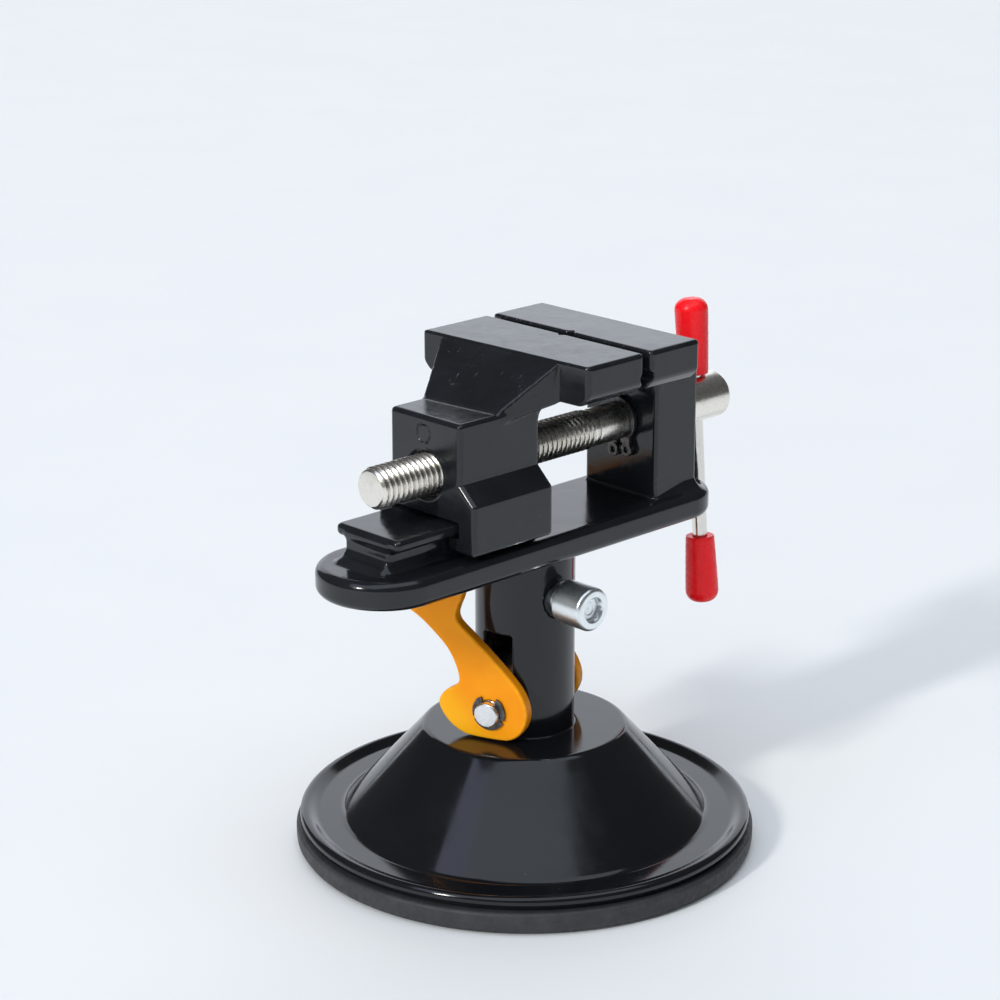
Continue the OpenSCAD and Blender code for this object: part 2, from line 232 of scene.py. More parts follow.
def bend(pts):
    """A line through (a, b, radius) corners, each rounded by its radius; then long runs get extra points near their ends."""
    out = []
    for i, (a, b, rad) in enumerate(pts):
        if rad == 0 or i in (0, len(pts) - 1):
            out.append((a, b)); continue
        p = np.array((a, b)); u = np.array(pts[i - 1][:2]) - p; v = np.array(pts[i + 1][:2]) - p
        lu, lv = np.linalg.norm(u), np.linalg.norm(v)
        u, v = u / lu, v / lv
        half = math.acos(max(-1, min(1, float(u @ v)))) / 2
        tl = min(rad / math.tan(half), 0.49 * lu, 0.49 * lv)
        rad = tl * math.tan(half)
        c = p + (u + v) / np.linalg.norm(u + v) * math.hypot(rad, tl)
        s0, s1 = p + u * tl - c, p + v * tl - c
        a0, a1 = math.atan2(s0[1], s0[0]), math.atan2(s1[1], s1[0])
        da = (a1 - a0 + math.pi) % (2 * math.pi) - math.pi
        n = max(3, int(abs(da) / math.radians(9)))
        out += [(c[0] + rad * math.cos(a0 + da * k / n), c[1] + rad * math.sin(a0 + da * k / n)) for k in range(n + 1)]
    return out

def support(pts, near=0.12, far=3.0):
    """Extra points near both ends of every long run, so that smooth shading stays flat in between."""
    out = [pts[0]]
    for p, q in zip(pts, pts[1:]):
        L = math.hypot(q[0] - p[0], q[1] - p[1])
        ts = []
        if L > 5 * near:
            m = max(1, int(L / far))
            ts = sorted([near / L, 1 - near / L] + [k / m for k in range(1, m)])
        out += [(p[0] + (q[0] - p[0]) * t, p[1] + (q[1] - p[1]) * t) for t in ts] + [q]
    return out

def turned(name, profile, matrix=None, seg=192, sharp=32, wobble=None, closed=False):
    """A body of revolution about z. The profile runs from the lowest point up the outside and back; closed joins its ends."""
    pts = np.array(support(profile), float)
    verts, faces, rows = [], [], []
    for r, z in pts:
        if abs(r) < 1e-6:
            rows.append([len(verts)]); verts.append((0, 0, z))
        else:
            rows.append(list(range(len(verts), len(verts) + seg)))
            for i in range(seg):
                a = 2 * math.pi * i / seg
                rr, zz = (r, z) if wobble is None else wobble(r, z, a)
                verts.append((rr * math.cos(a), rr * math.sin(a), zz))
    for a, b in zip(rows, rows[1:] + ([rows[0]] if closed else [])):
        for i in range(seg):
            j = (i + 1) % seg
            if len(a) == 1 and len(b) > 1: faces.append((a[0], b[j], b[i]))
            elif len(b) == 1 and len(a) > 1: faces.append((a[i], a[j], b[0]))
            elif len(a) > 1: faces.append((a[i], a[j], b[j], b[i]))
    ob = make_mesh(name, np.array(verts), faces, None, matrix)
    ob.data.set_sharp_from_angle(angle=math.radians(sharp))
    return ob

def turned_matrix(origin, axis, up=None):
    """Local z lies along axis; origin is in millimetres."""
    z = Vector(axis).normalized()
    x = Vector((0, 0, 1)) if abs(z.z) < 0.9 else Vector((1, 0, 0))
    y = z.cross(x).normalized(); x = y.cross(z)
    m = Matrix((x, y, z)).transposed().to_4x4()
    m.translation = Vector(origin) * MM
    return m

# ------------------------------------------------------------------ sizes
LEVER_DIR, PIN_OFF, PIN_Z = 18.6, 1.18, 30.2
SCREW_Z, BAR_X, LEAN = 80.3, 48.0, 4.5
CLAMP_Z = 51.9
pin_frame = Matrix.Rotation(math.radians(LEVER_DIR), 4, "Z") @ Matrix.Translation(Vector((0, PIN_OFF, PIN_Z)) * MM)
screw_frame = Matrix.Translation(Vector((0, 0, SCREW_Z)) * MM)
bar_frame = Matrix.Translation(Vector((BAR_X, 0, SCREW_Z)) * MM) @ Matrix.Rotation(math.radians(-LEAN), 4, "X")

# ------------------------------------------------------------------ vise body
def brace(P, foot, root, crest, low, inner, r, lz=88.5):
    """Flared brace: its corners on the block, at the jaw's foot and on the jaw's top edge, for the near and the far side."""
    pts = []
    for (fx, fy), (rx, ry), (cx, cy), (lx, ly) in zip(foot, root, crest, low):
        F, C = np.array((fx, fy, 91.2)), np.array((cx, cy, 100.1))
        pts += [F + (F - C) * 0.35, F, (rx, ry, 91.2), C, (lx, ly, lz), (cx + inner, cy, 100.0), (rx + inner, ry, 91.2)]
    return convex(P, pts, r)

def f_vise(P):
    x, y, z = (P[:, k].astype(np.float32) for k in range(3))
    ay = np.abs(y)
    # plan of the platform: round in front, corners of 9 mm at the rear
    qx, qy = x - 35.3, ay - 3.5
    rear = np.hypot(np.maximum(qx, 0), np.maximum(qy, 0)) + np.minimum(np.maximum(qx, qy), 0) - 9.0
    d2 = np.maximum(np.hypot(np.minimum(x + 36.5, 0), y) - 12.5, rear)
    plat = iround(d2, slab(z, 60.2, 65.8), 1.75)
    rr = np.hypot(x, y)
    spig = ring(rr, z, [(0, 46.6), (6.15, 46.6), (6.95, 47.4), (6.95, 49.2), (5.65, 50.5), (5.65, 53.3), (6.95, 54.6), (6.95, 61.5), (0, 61.5)], 0.15)
    f = uround(plat, spig, 0.25)
    foot = iround(iround(ay - 6.2, slab(x, -42.6, -2.8), 1.6), slab(z, 62, 66.9), 1.1)
    f = uround(f, foot, 1.5)
    web = iround(iround(ay - 5.9, slab(x, -40.6, -2.8), 0.7), slab(z, 62, 71.2), 0.3)
    top = iround(iround(ay - 8.5, slab(x, -40.75, -2.8), 1.3), slab(z, 70.1, 72.4), 0.95)
    f = uround(f, uround(web, top, 0.8), 1.6)
    col = iround(iround(ay - 9.43, slab(x, 26.2, 38.2), 0.75), slab(z, 61, 91.4), 0.5)
    f = uround(f, col, 0.45 + 2.1 * np.clip((x - 26.5) / 8, 0, 1))
    jaw = jaw_field(x, y, z, 25.4, 11.8, 0.0)
    wedge = brace(P, [(35.8, -8.7), (35.8, 8.7)], [(24.8, -9.2), (24.8, 9.2)], [(24.8, -15), (24.8, 15)], [(27, -7.3), (27, 7.3)], -2.5, 0.55)
    under = iround(iround(ay - 9, poly_sd(x, z, [(20.8, 93.2), (26.9, 87.3), (28, 87.3), (28, 94.5), (20.8, 94.5)]), 0.5), x - 28, 0.3)
    soft = 0.8 * np.clip((100.3 - z) / 5, 0.06, 1)
    head = uround(uround(jaw, wedge, soft), under, soft)
    f = uround(f, head, np.minimum(soft, 0.9))
    bore = np.hypot(y, z - SCREW_Z) - 3.82
    bore = np.maximum(bore, 23 - x)
    f = cut(f, bore, 0.35)
    return f + 0.05 * lumps(P, 5.5) * np.where(z < 60.0, 0, 1)

def jaw_field(x, y, z, x0, x1, skew):
    """A jaw: working face at x1, back at x0. The back runs askew by skew at the far end."""
    s = 1 if x1 > x0 else -1
    ay = np.abs(y)
    back = -s * (x - x0 - skew * (y + 21.1) / 42.2) / math.hypot(1, skew / 42.2)
    face = s * (x - x1)
    f = iround(back, face, 0.6)
    f = iround(f, slab(z, 92.6, 100.4), 0.6)
    f = iround(f, ay - 21.1, 0.95)
    f = iround(f, ((ay - 21.1) - (z - 92.6) + 1.98) / math.sqrt(2), 0.5)
    groove = poly_sd(x, z, [(x1 + s, 93.48), (x1 - 0.9 * s, 95.2), (x1 - 0.9 * s, 96.0), (x1 + s, 97.72)])
    f = cut(f, groove, 0.3)
    vee = (np.abs(x - x1) + np.abs(y) - 1.15) / math.sqrt(2)
    return cut(f, vee, 0.2)

def f_jaw(P):
    x, y, z = (P[:, k].astype(np.float32) for k in range(3))
    ay = np.abs(y)
    prof = soft_poly(ay, z, [(-6, 66.85), (13, 66.85), (13, 76.6), (9.36, 80.0), (9.36, 91.4), (-6, 91.4)], 0.9)
    blk = iround(prof, slab(x, -26.1, -5.5), 1.0)
    chan = iround(ay - 8.85, slab(z, 69.75, 72.75), 0.25)
    chan = np.minimum(chan, iround(ay - 6.25, z - 72, 0.1))
    chan = np.minimum(chan, iround(ay - 8.85, z - 67.3, 0.1))
    blk = cut(blk, chan, 0.3)
    jaw = jaw_field(x, y, z, -5.0, 10.0, -1.9)
    wedge = brace(P, [(-16.3, -8.7), (-18.0, 9.2)], [(-4.9, -9.2), (-5.7, 9.2)], [(-5.33, -14), (-6.7, 16)], [(-5.3, -13.7), (-6.65, 15.6)], 2.5, 0.5, 92.3)
    under = iround(iround(ay - 8.9, poly_sd(x, z, [(-0.5, 93.2), (-0.5, 94.5), (-7.5, 94.5), (-7.5, 88.4), (-6.4, 88.4)]), 0.5), -7.5 - x, 0.3)
    soft = 0.8 * np.clip((100.3 - z) / 5, 0.06, 1)
    f = uround(uround(jaw, wedge, soft), under, soft)
    f = uround(blk, f, np.minimum(soft, 0.7))
    rs = np.hypot(y, z - SCREW_Z)
    hole = np.minimum(rs - 4.08, np.minimum((rs - 4.95 + (x + 26.1)) / math.sqrt(2), (rs - 4.95 - (x + 5.5)) / math.sqrt(2)))
    hole = np.maximum(hole, x + 4.4)
    f = cut(f, hole, 0.25)
    # round ejector mark on the front of the block
    er = np.abs(np.hypot(y - 0.2, z - 88.1) - 1.75)
    f = np.maximum(f, -(np.hypot(er, x + 26.1) - 0.16))
    slope = np.clip((z - 92.2) / 1.5, 0, 1) * np.clip((-7.2 - x) / 1.5, 0, 1)
    solid = np.where((ay < 9.3) & (z < 73.2), 0, 1)
    return f + (0.045 * lumps(P, 5.5) + 0.15 * slope * np.clip(lumps(P + 7, 1.3) * 3.2 - 2.0, 0, 1)) * solid

vise = field_mesh("Vise_body", f_vise, (-49, -21.1, 46.6), (38.2, 21.1, 100.4), 0.38)
jaw = field_mesh("Movable_jaw", f_jaw, (-26.1, -21.1, 66.8), (10, 21.1, 100.4), 0.30)

# ------------------------------------------------------------------ suction base
lip = arc(43.1, 6.2, 1.09, -70, 95, 26)
roll = [(43.0 - 2.6 * t, 7.287 - 1.137 * t * t * (3 - 2 * t)) for t in (k / 12 for k in range(1, 12))]
shell = bend([(40.4, 6.15, 0), (35.8, 6.15, 1.8), (19.66, 24.3, 1.5), (9.66, 24.3, 0.3), (9.66, 25.3, 0)])
shell = [(33.9, 4.52), (42.8, 4.52), (43.1, 4.56), (43.27, 4.68), (43.33, 4.9), (43.34, 5.14)] + lip + roll + shell + [(9.2, 25.3), (9.2, 21.6), (18.1, 21.6), (33.3, 5.7), (33.7, 4.7)]
cone = turned("Base_cone", shell, seg=288, sharp=40, closed=True)

def f_post(P):
    x, y, z = (P[:, k].astype(np.float32) for k in range(3))
    r = np.hypot(x, y)
    f = iround(r - 9.65, slab(z, 15.0, 59.9), 0.6)
    f = cut(f, r - 7.0, 0.4)
    c, s = math.cos(math.radians(LEVER_DIR)), math.sin(math.radians(LEVER_DIR))
    u = x * c + y * s; v = -x * s + y * c
    slot = iround(iround(np.abs(v - PIN_OFF) - 3.1, slab(z, 26.6, 45.1), 0.6), np.abs(u) - 15, 0.1)
    f = cut(f, slot, 0.35)
    seat = np.maximum(np.hypot(x, z - CLAMP_Z) - 3.62, slab(y, -13, -5))
    return cut(f, seat, 0.3)
post = field_mesh("Base_post", f_post, (-9.65, -9.65, 15), (9.65, 9.65, 59.9), 0.36)

def cup_profile():
    p = [(0, 0.02), (18, 0.02), (30, 0.02), (35.8, 0.02)]
    for g in (36.5, 39.5):
        p += [(g - 0.62, 0.02)] + arc(g, 0.02, 0.55, 180, 0, 8) + [(g + 0.62, 0.02)]
    p += [(41.5, 0.02), (42.6, 0.03)] + arc(43.25, 1.45, 1.42, -88, -38, 6)
    p += [(44.85, 1.35), (44.93, 2.0), (44.95, 2.6)] + arc(44.25, 3.75, 0.70, 0, 90, 8)
    p += [(43.4, 4.47), (38, 4.47), (34.2, 4.47), (34, 4.3), (32.6, 2.75), (32, 2.6), (21.3, 2.6), (20.9, 2.9), (19.5, 7.3), (19.1, 7.6), (7.4, 7.6), (7.2, 7.4), (7.2, 5.6), (16.2, 5.6), (16.25, 5.4), (16.25, 2.6), (0, 2.6)]
    return p

cup = turned("Suction_cup", cup_profile(), seg=288, sharp=28, wobble=lambda r, z, a: (r - 0.03 * (0.5 + 0.5 * math.sin(7 * a + 1) * math.sin(3 * a)) if r > 44 else r, z))

# ------------------------------------------------------------------ locking lever, its pin and clips
ARM = [(-2.95, -5.5), (4.2, -5.6), (6.3, -5.2), (8.45, -3.96), (9.97, -2.43), (10.9, -0.9), (11.18, 0.1), (11.05, 0.95), (10.6, 1.8), (10.05, 2.5),
       (9.26, 3.17), (8.02, 3.86), (7.13, 4.54), (6.72, 5.4), (6.88, 6.7), (7.5, 8.48), (8.38, 10.26), (9.41, 11.78), (10.81, 13.19), (12.89, 15.04), (15.07, 16.78),
       (17.67, 18.21), (21.41, 20.22), (25.58, 22.81), (28.81, 24.83), (30.48, 26.2), (30.79, 27.39), (30.06, 28.42),
       (9.8, 28.95), (7.6, 27.91), (6.36, 26.24), (5.89, 24.45), (6.1, 22.34), (7.08, 20.11), (7.5, 18.7), (7.29, 17.7), (6.67, 16.87),
       (4.97, 15.51), (3.25, 14.11), (1.11, 12.27), (-1.03, 10.34), (-3.18, 8.4), (-5.22, 6.36), (-6.56, 4.6), (-7.29, 3.13), (-7.7, 1.84), (-7.85, 0.54),
       (-7.7, -0.86), (-7.08, -2.48), (-6.15, -3.8), (-4.91, -4.84)]

def smooth_loop(pts, n=2):
    """Corner cutting, which turns a polygon into a smooth closed line."""
    p = np.array(pts, float)
    for _ in range(n):
        q = np.roll(p, -1, 0)
        p = np.stack([0.75 * p + 0.25 * q, 0.25 * p + 0.75 * q], 1).reshape(-1, 2)
    return [tuple(v) for v in p]

ARM_S = smooth_loop(ARM, 1)
def f_lever(P):
    u, y, z = (P[:, k].astype(np.float32) for k in range(3))
    au = np.abs(u)
    side = poly_sd(y, z, ARM_S)
    arm = iround(side, slab(au, 10.0, 12.6), 0.5)
    plate = iround(soft_poly(y, z, [(9.3, 26.2), (25.2, 25.6), (28.2, 24.45), (29.23, 25.1), (30.48, 26.2), (30.79, 27.39), (30.06, 28.42), (9.3, 28.96)], 0.4), au - 12.6, 0.5)
    f = uround(arm, plate, 1.2 * np.clip((28.3 - z) / 2, 0.05, 1))
    hole = np.hypot(y, z) - 2.56
    return cut(f, hole, 0.25)

lever = field_mesh("Lock_lever", f_lever, (-12.6, -8, -5.7), (12.6, 30.9, 29.1), 0.27, pin_frame)

def f_pin(P):
    u, y, z = (P[:, k].astype(np.float32) for k in range(3))
    r = np.hypot(y, z); au = np.abs(u)
    end = au - 14.62 + r * r * 0.012
    f = iround(r - 2.49, end, 0.35)
    groove = iround(slab(au, 12.72, 13.42), 2.0 - r, 0.03)
    return cut(f, groove, 0.05)
pin = field_mesh("Pivot_pin", f_pin, (-14.7, -2.5, -2.5), (14.7, 2.5, 2.5), 0.15, pin_frame)

def f_clips(P):
    u, y, z = (P[:, k].astype(np.float32) for k in range(3))
    au = np.abs(u)
    r = np.hypot(y, z)
    # the band is widest at the bottom and narrows towards its open ends
    outer = np.hypot(y, z - 0.12) - 3.46
    f = np.maximum(outer, 2.05 - r)
    f = np.maximum(f, -(np.maximum(np.abs(y) - 1.55, -z)))
    for m in (-1, 1):
        tip = np.hypot(y - m * 2.05, z - 2.15) - 0.62
        f = uround(f, np.maximum(tip, 2.05 - r), 0.3)
    f = np.maximum(f, -(np.hypot(np.abs(y) - 2.9, z + 1.2) - 0.34))
    return iround(f, slab(au, 12.77, 13.33), 0.1)
clips = field_mesh("Pivot_clips", f_clips, (-13.4, -3.6, -3.6), (13.4, 3.6, 3.6), 0.12, pin_frame)

# ------------------------------------------------------------------ clamp screw
def f_clamp(P):
    x, y, z = (P[:, k].astype(np.float32) for k in range(3))     # z runs outwards, away from the post
    r = np.hypot(x, y)
    th = np.arctan2(y, x)
    ph = z / 0.8 + th / (2 * math.pi)
    a = np.abs(ph - np.floor(ph) - 0.5) * 0.8
    thread = (r - 2.47 + np.clip((a - 0.06) * 1.5, 0, 0.42)) * 0.55
    shank = np.maximum(iround(thread, 6.15 - z, 0.2), z - 11.6)
    head = iround(r - 4.25, 11.22 - z, 0.2)
    head = iround(head, (z - 18.38), 0.12)
    head = iround(head, (r - 4.25 + z - 17.85) / math.sqrt(2), 0.2)
    f = np.minimum(shank, head)
    hexd = np.maximum(np.maximum(np.abs(x), np.abs(x * 0.5 + y * 0.8660254)), np.abs(x * 0.5 - y * 0.8660254)) - 2.0
    floor_z = 16.9 + 0.15 * r
    sock = iround(hexd, floor_z - z, 0.1)
    sock = np.minimum(sock, np.maximum((r - 2.55 - (z - 18.38)) / math.sqrt(2), 17.0 - z))
    return cut(f, sock, 0.1)
clamp = field_mesh("Clamp_screw", f_clamp, (-4.3, -4.3, 6), (4.3, 4.3, 18.5), 0.14, turned_matrix((0, 0, CLAMP_Z), (0, -1, 0)))

# ------------------------------------------------------------------ lead screw
PITCH = 1.25
def f_screw(P):
    x, y, z = (P[:, k].astype(np.float32) for k in range(3))
    r = np.hypot(y, z)
    th = np.arctan2(z, y)
    ph = x / PITCH - th / (2 * math.pi)
    a = np.abs(ph - np.floor(ph) - 0.5) * PITCH
    depth = np.clip((a - 0.085) * 1.6, 0, 0.70)
    run = np.clip((16.3 - x) / 1.2, 0, 1)
    thread = (r - 3.98 + depth * run + (1 - run) * 0.25) * 0.53
    thread = iround(thread, slab(x, -39.66, 16.6), 0.1)
    thread = iround(thread, (r - 3.05 + (-39.66 - x)) / math.sqrt(2), 0.15)
    thread = np.maximum(thread, -39.68 + r * r * 0.028 - x)
    neck = np.maximum(r - 3.3, slab(x, 16, 17.6))
    journal = iround(r - 3.74, slab(x, 17.2, 39), 0.3)
    f = uround(np.minimum(thread, neck), journal, 0.15)
    f = cut(f, iround(slab(x, 24.86, 25.94), 3.3 - r, 0.03), 0.06)
    head = iround(r - 4.74, slab(x, 38.52, 53.66), 0.55)
    f = uround(f, head, 0.2)
    s, c = math.sin(math.radians(LEAN)), math.cos(math.radians(LEAN))
    across = np.hypot(x - BAR_X, y * c - z * s)
    return cut(f, across - 1.56, 0.3)
screw = field_mesh("Lead_screw", f_screw, (-39.7, -4.75, -4.75), (53.7, 4.75, 4.75), 0.18, screw_frame, eps=0.02)

def f_ring(P):
    x, y, z = (P[:, k].astype(np.float32) for k in range(3))
    c, s = math.cos(math.radians(9)), math.sin(math.radians(9))
    v = y * c - z * s; w = y * s + z * c
    v, w = (y * c - z * s, y * s + z * c)
    r = np.hypot(v, w)
    outer = np.hypot(v, w - 0.2) - 4.75
    f = np.maximum(outer, 3.38 - r)
    for m in (-1, 1):
        lug = np.hypot(v - m * 1.75, w + 5.9) - 1.35
        neck = np.maximum(np.abs(v - m * 1.95) - 0.85, slab(w, -5.6, -3.2))
        f = uround(f, uround(lug, neck, 0.3), 0.25)
    f = np.maximum(f, 3.38 - r)
    f = np.maximum(f, -np.maximum(np.abs(v) - 0.6, slab(w, -9, -2)))
    for m in (-1, 1):
        f = np.maximum(f, -(np.hypot(v - m * 1.75, w + 5.9) - 0.6))
    return iround(f, slab(x, 24.94, 25.86), 0.12)
circlip = field_mesh("Screw_circlip", f_ring, (24.8, -8, -8), (26, 8, 8), 0.14, screw_frame)

# ------------------------------------------------------------------ handle bar and its dipped caps
def tidy(z0, z1, r, e):
    return [(0, z0)] + [(r - e - 0.2, z0)] + arc(r - e, z0 + e, e, -90, 0, 5) + [(r, z0 + e + 0.3), (r, z1 - e - 0.3)] + arc(r - e, z1 - e, e, 0, 90, 5) + [(r - e - 0.2, z1), (0, z1)]
bar = turned("Handle_bar", tidy(1.62 - 42.55, 20.45 - 1.62, 1.49, 0.25), bar_frame, seg=64)

def cap_profile(a, b, R=3.38, M=2.93, bore=1.51):
    """Dipped cap over the bar: mouth at a, round end at b above it. It widens a little from its mouth to its end."""
    L = b - a
    p = [(bore, a + 0.22), (bore + 0.08, a + 0.06), (bore + 0.22, a), (M - 0.28, a)] + arc(M - 0.26, a + 0.24, 0.24, -80, 0, 6)
    p += [(M + 0.03, a + 0.6)]
    p += [(M + (R - M) * (t ** 0.85), a + 0.6 + (L - 3.4) * t) for t in (0.1, 0.25, 0.4, 0.55, 0.7, 0.85)]
    p += arc(R - 2.35, b - 2.37, 2.35, 3, 80, 14)
    p += [(0.65, b - 0.045), (0.3, b - 0.03), (0, b - 0.025)]
    return [(0, b - 1.66), (bore - 0.25, b - 1.66), (bore, b - 1.9), (bore, a + 2)] + p
cap_u = turned("Bar_cap_upper", cap_profile(5.05, 20.45), bar_frame, seg=96)
flip = bar_frame @ Matrix.Rotation(math.pi, 4, "X")
cap_l = turned("Bar_cap_lower", cap_profile(28.6, 42.55), flip, seg=96)

# ------------------------------------------------------------------ materials
class Mat:
    """A small helper round one node material in object coordinates."""
    def __init__(self, name):
        self.m = bpy.data.materials.new(name)
        self.m.use_nodes = True
        self.t = self.m.node_tree
        self.b = next(n for n in self.t.nodes if n.type == "BSDF_PRINCIPLED")
        self.co = self.t.nodes.new("ShaderNodeTexCoord").outputs["Object"]
    def set(self, **k):
        for a, v in k.items():
            s = self.b.inputs[a.replace("_", " ")]
            s.default_value = v
        return self
    def node(self, kind, **k):
        n = self.t.nodes.new(kind)
        for a, v in k.items(): setattr(n, a, v)
        return n
    def link(self, a, b): self.t.links.new(a, b)
    def noise(self, size, detail=2.0, rough=0.5, stretch=None):
        """Noise with features of about size millimetres."""
        n = self.node("ShaderNodeTexNoise")
        n.inputs["Scale"].default_value = 1.0 / (size * MM)
        n.inputs["Detail"].default_value = detail
        n.inputs["Roughness"].default_value = rough
        co = self.co
        if stretch:
            mp = self.node("ShaderNodeMapping"); mp.inputs["Scale"].default_value = stretch
            self.link(co, mp.inputs["Vector"]); co = mp.outputs["Vector"]
        self.link(co, n.inputs["Vector"])
        return n.outputs["Fac"]
    def cells(self, size, rnd=1.0):
        n = self.node("ShaderNodeTexVoronoi")
        n.inputs["Scale"].default_value = 1.0 / (size * MM)
        n.inputs["Randomness"].default_value = rnd
        self.link(self.co, n.inputs["Vector"])
        return n
    def ramp(self, v, a, b, lo=0.0, hi=1.0, smooth=True):
        n = self.node("ShaderNodeMapRange")
        if smooth: n.interpolation_type = "SMOOTHSTEP"
        n.inputs["From Min"].default_value = a; n.inputs["From Max"].default_value = b
        n.inputs["To Min"].default_value = lo; n.inputs["To Max"].default_value = hi
        self.link(v, n.inputs["Value"])
        return n.outputs["Result"]
    def math(self, op, a, b):
        n = self.node("ShaderNodeMath", operation=op)
        for k, v in enumerate((a, b)):
            if isinstance(v, (int, float)): n.inputs[k].default_value = v
            else: self.link(v, n.inputs[k])
        return n.outputs[0]
    def mix(self, f, a, b):
        n = self.node("ShaderNodeMix", data_type="RGBA")
        for k, v in (("Factor", f),):
            if isinstance(v, (int, float)): n.inputs[0].default_value = v
            else: self.link(v, n.inputs[0])
        for k, v in ((6, a), (7, b)):
            if isinstance(v, (tuple, list)): n.inputs[k].default_value = (*v, 1.0)
            else: self.link(v, n.inputs[k])
        return n.outputs[2]
    def specks(self, cell, share, radius):
        """1 inside small round specks: cell is their spacing in mm, share how many cells have one, radius in mm."""
        v = self.cells(cell)
        near = self.ramp(v.outputs["Distance"], radius / cell, radius / cell * 0.55)
        sep = self.node("ShaderNodeSeparateColor"); self.link(v.outputs["Color"], sep.inputs[0])
        pick = self.math("LESS_THAN", sep.outputs[0], share)
        return self.math("MULTIPLY", near, pick)
    def bump(self, *layers):
        """Each layer is (height 0..1, depth in mm)."""
        last = None
        for h, depth in layers:
            n = self.node("ShaderNodeBump")
            n.inputs["Strength"].default_value = 1.0
            n.inputs["Distance"].default_value = depth * MM
            self.link(h, n.inputs["Height"])
            if last is not None: self.link(last, n.inputs["Normal"])
            last = n.outputs["Normal"]
        self.link(last, self.b.inputs["Normal"])
    def color(self, v): self.link(v, self.b.inputs["Base Color"])
    def rough(self, v): self.link(v, self.b.inputs["Roughness"])
    def edge(self, lo=0.02, hi=0.10):
        """1 on outer edges, from the mesh's own measure of how far a point stands out."""
        n = self.node("ShaderNodeAttribute"); n.attribute_name = "stand"
        return self.ramp(n.outputs["Fac"], lo, hi)
    # mask of recesses from the stand measure, used by metal() for painted shade
    def recess_shade(self, lo=-0.02, hi=-0.10):
        n = self.node("ShaderNodeAttribute"); n.attribute_name = "stand"
        return self.ramp(n.outputs["Fac"], lo, hi)

def painted(name, base, peel, speck_share, r0, r1, bright=0.24):
    """Thick gloss enamel over a casting: orange peel, dust under the coat, thin edges."""
    m = Mat(name).set(IOR=1.5, Specular_IOR_Level=0.5)
    patch = m.noise(9.0, 3)
    c = m.mix(m.ramp(patch, 0.35, 0.7), base, tuple(v * 1.35 for v in base))
    e = m.edge(0.03, 0.13)
    chip = m.math("MULTIPLY", e, m.ramp(m.noise(0.9, 3), 0.55, 0.72))
    c = m.mix(m.math("MULTIPLY", chip, 0.5), c, (0.07, 0.072, 0.078))
    dust = m.specks(1.3, speck_share, 0.085)
    fine = m.specks(0.6, speck_share * 0.5, 0.035)
    d = m.math("MAXIMUM", dust, fine)
    c = m.mix(m.math("MULTIPLY", d, 0.55), c, (bright, bright, bright * 1.04))
    m.color(c)
    r = m.ramp(m.noise(2.2, 3), 0.3, 0.75, r0, r1)
    r = m.math("ADD", r, m.math("MULTIPLY", d, 0.35))
    r = m.math("ADD", r, m.math("MULTIPLY", m.ramp(m.noise(14.0, 2), 0.45, 0.75), 0.05))
    m.rough(r)
    m.bump((m.noise(1.6, 1.5, 0.4), peel), (m.noise(0.35, 1.0), peel * 0.10), (d, 0.012))
    return m.m

enamel = painted("Gloss_enamel", (0.0080, 0.0092, 0.0112), 0.013, 0.035, 0.10, 0.18)
enamel_jaw = painted("Gloss_enamel_jaw", (0.0080, 0.0092, 0.0112), 0.014, 0.10, 0.13, 0.23, 0.34)

def glossy_plastic():
    m = Mat("Gloss_moulding").set(IOR=1.5, Specular_IOR_Level=0.5)
    c = m.mix(m.ramp(m.noise(16.0, 2), 0.35, 0.7), (0.0055, 0.0064, 0.0080), (0.0072, 0.0082, 0.0100))
    d = m.math("MAXIMUM", m.specks(2.2, 0.07, 0.11), m.specks(0.8, 0.03, 0.04))
    c = m.mix(m.math("MULTIPLY", d, 0.5), c, (0.22, 0.22, 0.23))
    e = m.edge(0.03, 0.10)
    c = m.mix(m.math("MULTIPLY", e, m.ramp(m.noise(0.7, 3), 0.5, 0.7, 0, 0.3)), c, (0.06, 0.06, 0.065))
    m.color(c)
    r = m.ramp(m.noise(6.0, 3), 0.3, 0.75, 0.09, 0.16)
    # light rubbing marks
    rub = m.ramp(m.noise(1.2, 4, 0.6, (1, 1, 0.15)), 0.52, 0.75, 0, 0.05)
    m.rough(m.math("ADD", m.math("ADD", r, rub), m.math("MULTIPLY", d, 0.35)))
    m.bump((m.noise(4.5, 1.0, 0.4), 0.010), (m.noise(0.9, 2.0), 0.0009), (d, 0.012))
    return m.m
moulding = glossy_plastic()

def rubber():
    m = Mat("Matt_rubber").set(IOR=1.5, Specular_IOR_Level=0.42)
    c = m.mix(m.ramp(m.noise(3.5, 4), 0.3, 0.75), (0.028, 0.029, 0.032), (0.038, 0.039, 0.042))
    bloom = m.ramp(m.noise(0.5, 4, 0.65), 0.5, 0.8)
    c = m.mix(m.math("MULTIPLY", bloom, 0.35), c, (0.085, 0.085, 0.09))
    d = m.math("MAXIMUM", m.specks(2.6, 0.10, 0.13), m.specks(0.7, 0.06, 0.05))
    c = m.mix(m.math("MULTIPLY", d, 0.6), c, (0.30, 0.27, 0.23))
    m.color(c)
    m.rough(m.ramp(m.noise(1.1, 4), 0.3, 0.7, 0.48, 0.66))
    m.bump((m.noise(0.28, 3, 0.6), 0.012), (m.noise(2.0, 2), 0.02), (d, 0.03))
    return m.m
rubber_m = rubber()

